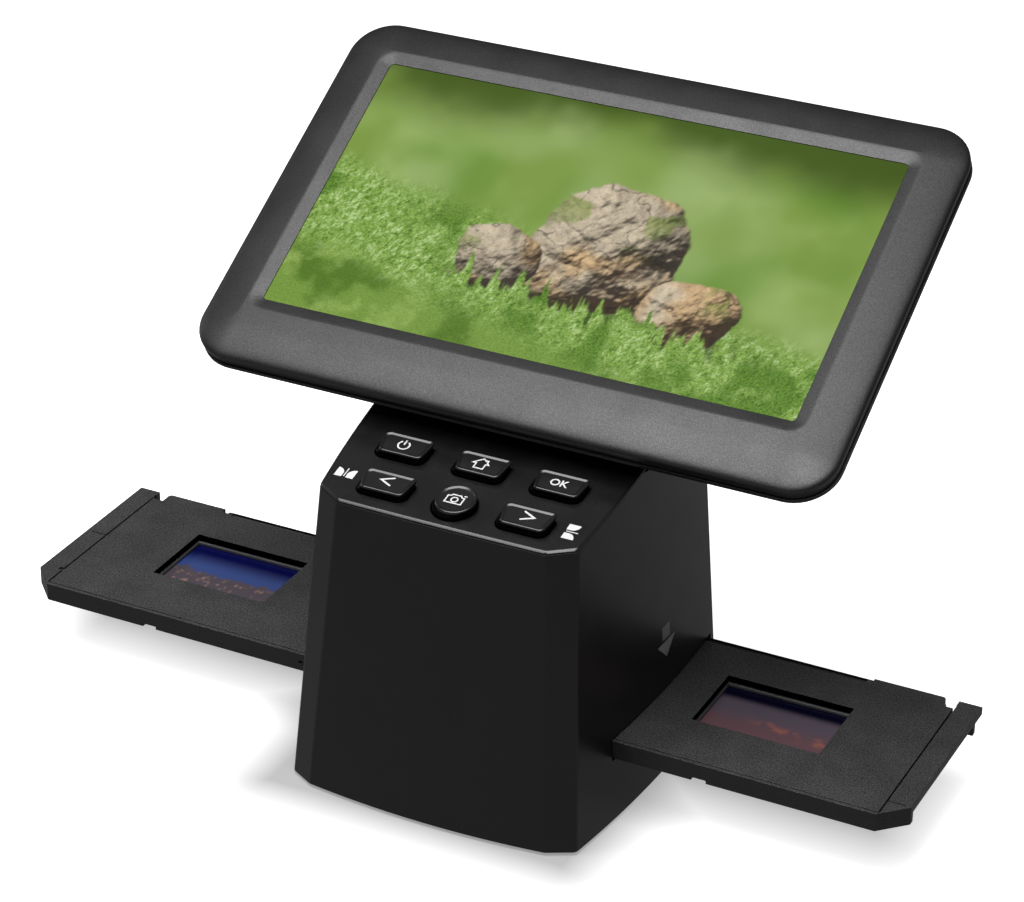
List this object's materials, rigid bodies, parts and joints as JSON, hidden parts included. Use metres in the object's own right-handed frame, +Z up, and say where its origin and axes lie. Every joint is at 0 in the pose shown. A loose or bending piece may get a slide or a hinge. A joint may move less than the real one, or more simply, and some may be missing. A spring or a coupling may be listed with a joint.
{
  "type": "film negative scanner",
  "caption": "Table-top film and slide scanner: tapering body with a sloping key deck, a tilting display on a pin hinge, and a long slide tray that runs through the body.",
  "frame": {"origin": "on the table, under the middle of the whole object's overall box at rest", "axes": "+X to the object's right, along the slide tray; +Y to its back; +Z up"},
  "size_m": [0.2622, 0.1444, 0.162],
  "materials": {
    "housing_plastic": "satin black plastic",
    "deck_plastic": "satin black plastic",
    "key_plastic": "smooth black plastic",
    "rubber": "matte black rubber",
    "screw_steel": "plain",
    "gate_plastic": "matte black",
    "white_plastic": "matte white",
    "spring_steel": "plain",
    "board": "green solder mask",
    "chip_black": "matte black",
    "socket_steel": "plated",
    "lens": "coated",
    "hinge_steel": "plain",
    "bush_plastic": "natural",
    "display_plastic": "fine-grained dark grey",
    "display_trim": "satin black",
    "screen_glass": "polished",
    "screen": "display picture in green and brown",
    "tray_plastic": "fine-grained charcoal",
    "slide_plastic": "matte",
    "film": "coloured film"
  },
  "bodies": {
    "housing": {"backlight_leds": "white_plastic", "base_plate": "housing_plastic", "base_screws": "screw_steel", "card_socket": "socket_steel", "channel_lower": "gate_plastic", "channel_screws": "screw_steel", "channel_upper": "gate_plastic", "control_deck": "deck_plastic", "detent_spring": "spring_steel", "diffuser_plate": "white_plastic", "hdmi_socket": "socket_steel", "hinge_bracket_left": "hinge_steel", "hinge_bracket_right": "hinge_steel", "hinge_pin_left": "hinge_steel", "hinge_pin_right": "hinge_steel", "hinge_screws": "screw_steel", "image_sensor": "chip_black", "key_board": "board", "key_switches": "chip_black", "led_board": "board", "lens_barrel": "gate_plastic", "lens_glass": "lens", "lens_holder": "gate_plastic", "light_box": "white_plastic", "light_hood": "gate_plastic", "main_board": "board", "main_chips": "chip_black", "main_shell": "housing_plastic", "rear_cover": "housing_plastic", "rubber_feet": "rubber", "sensor_board": "board", "top_cover": "housing_plastic", "usb_socket": "socket_steel"},
    "display": {"display_bezel": "display_plastic", "display_frame": "display_trim", "display_back": "display_plastic", "cover_glass": "screen_glass", "lcd_module": "screen", "display_board": "board", "display_screws": "screw_steel", "hinge_bush_left": "bush_plastic", "hinge_bush_right": "bush_plastic"},
    "tray": {"tray_base": "tray_plastic", "tray_lid": "tray_plastic", "lid_hinge_pin": "spring_steel", "slide_mount_1": "slide_plastic", "slide_mount_2": "slide_plastic", "slide_mount_3": "slide_plastic", "slide_mount_4": "slide_plastic", "slide_film_1": "film", "slide_film_2": "film", "slide_film_3": "film", "slide_film_4": "film"},
    "key_power_cap": {"key_power": "key_plastic"},
    "key_home_cap": {"key_home": "key_plastic"},
    "key_ok_cap": {"key_ok": "key_plastic"},
    "key_left_cap": {"key_left": "key_plastic"},
    "key_camera_cap": {"key_camera": "key_plastic"},
    "key_right_cap": {"key_right": "key_plastic"}
  },
  "joints": [
    {"name": "display_tilt", "type": "hinge", "parent": "housing", "child": "display", "pos_m": [0.0083, -0.01748, 0.0952], "axis": [1, 0, 0], "range_deg": [-25, 19]},
    {"name": "tray_slide", "type": "slide", "parent": "housing", "child": "tray", "axis": [1, 0, 0], "range_m": [-0.0747, 0.0913]},
    {"name": "key_power_press", "type": "slide", "parent": "housing", "child": "key_power_cap", "axis": [0, 0.225, -0.9744], "range_m": [0, 0.0008], "stiffness_N_per_m": 500, "springref_m": -0.0005},
    {"name": "key_home_press", "type": "slide", "parent": "housing", "child": "key_home_cap", "axis": [0, 0.225, -0.9744], "range_m": [0, 0.0008], "stiffness_N_per_m": 500, "springref_m": -0.0005},
    {"name": "key_ok_press", "type": "slide", "parent": "housing", "child": "key_ok_cap", "axis": [0, 0.225, -0.9744], "range_m": [0, 0.0008], "stiffness_N_per_m": 500, "springref_m": -0.0005},
    {"name": "key_left_press", "type": "slide", "parent": "housing", "child": "key_left_cap", "axis": [0, 0.225, -0.9744], "range_m": [0, 0.0008], "stiffness_N_per_m": 500, "springref_m": -0.0005},
    {"name": "key_camera_press", "type": "slide", "parent": "housing", "child": "key_camera_cap", "axis": [0, 0.225, -0.9744], "range_m": [0, 0.0008], "stiffness_N_per_m": 500, "springref_m": -0.0005},
    {"name": "key_right_press", "type": "slide", "parent": "housing", "child": "key_right_cap", "axis": [0, 0.225, -0.9744], "range_m": [0, 0.0008], "stiffness_N_per_m": 500, "springref_m": -0.0005}
  ]
}
